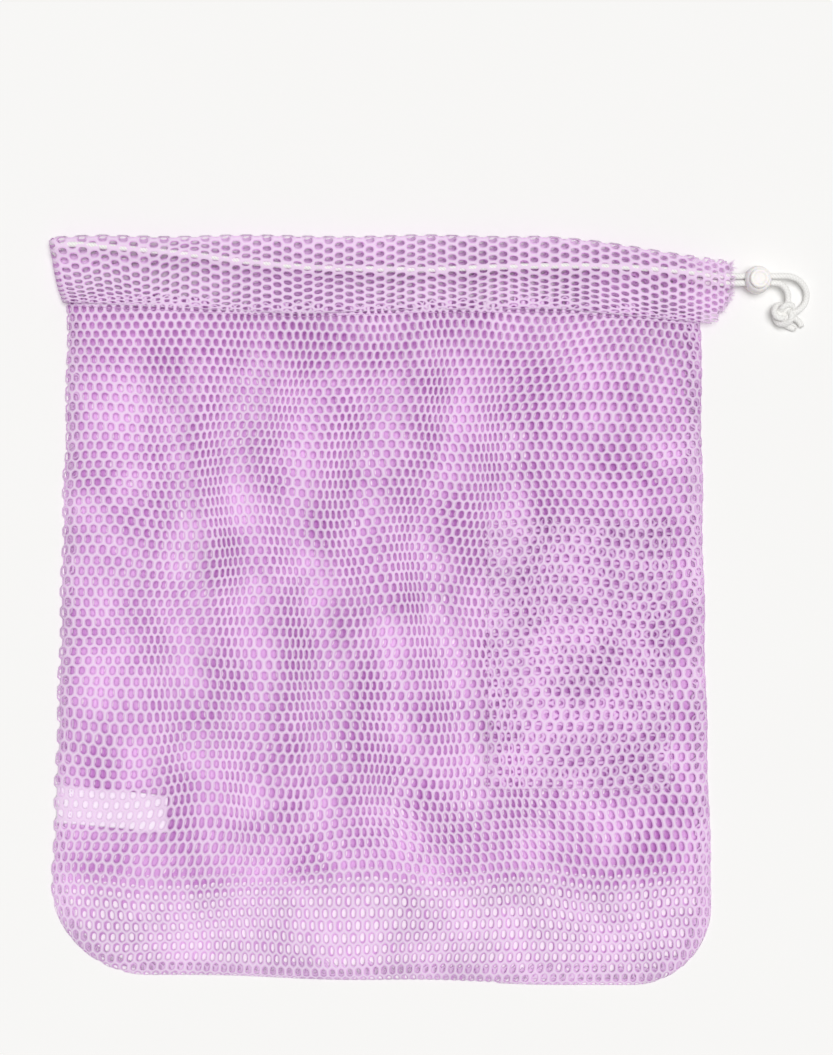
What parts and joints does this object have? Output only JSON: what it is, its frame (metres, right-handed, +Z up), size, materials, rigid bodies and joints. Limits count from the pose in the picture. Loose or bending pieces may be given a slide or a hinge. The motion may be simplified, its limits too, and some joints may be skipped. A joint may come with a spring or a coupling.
{
  "type": "mesh laundry bag",
  "caption": "Flat-lying open-mesh laundry bag with a folded drawcord channel, inner pocket, care label, and a push-button cord lock on a knotted cord.",
  "frame": {"origin": "middle of the underside of the back panel, on the surface that the bag lies on", "axes": "+Y from the bottom seam to the mouth, +X across the bag to the cord lock, +Z up out of the surface"},
  "size_m": [0.5312, 0.52, 0.023],
  "materials": {
    "mesh": "warp-knitted polyester net, soft sheen",
    "thread": "twisted polyester sewing thread",
    "cord": "braided polyester cord, matte",
    "label": "woven satin ribbon, blank",
    "lock_plastic": "moulded, fine satin",
    "button_plastic": "moulded, fine satin",
    "spring_steel": "drawn wire"
  },
  "bodies": {
    "bag": {"back_panel": "mesh", "front_panel": "mesh", "cord_channel": "mesh", "inner_pocket": "mesh", "pocket_hem": "mesh", "care_label": "label", "side_seam_left": "thread", "side_seam_right": "thread", "bottom_seam": "thread", "channel_stitch_front": "thread", "channel_stitch_back": "thread", "pocket_stitch": "thread", "label_stitch": "thread", "drawcord": "cord", "cord_end_front": "cord", "cord_end_back": "cord", "cord_knot": "cord", "cord_tails": "cord"},
    "lock": {"lock_housing": "lock_plastic", "lock_spring": "spring_steel"},
    "button": {"lock_button": "button_plastic"}
  },
  "joints": [
    {"name": "lock_slide", "type": "slide", "parent": "bag", "child": "lock", "axis": [1, 0, 0], "range_m": [-0.0035, 0.006]},
    {"name": "button_press", "type": "slide", "parent": "lock", "child": "button", "axis": [0, 0, -1], "range_m": [0, 0.0036], "stiffness_N_per_m": 400, "springref_m": -0.002, "deforming": ["lock_spring"]}
  ]
}
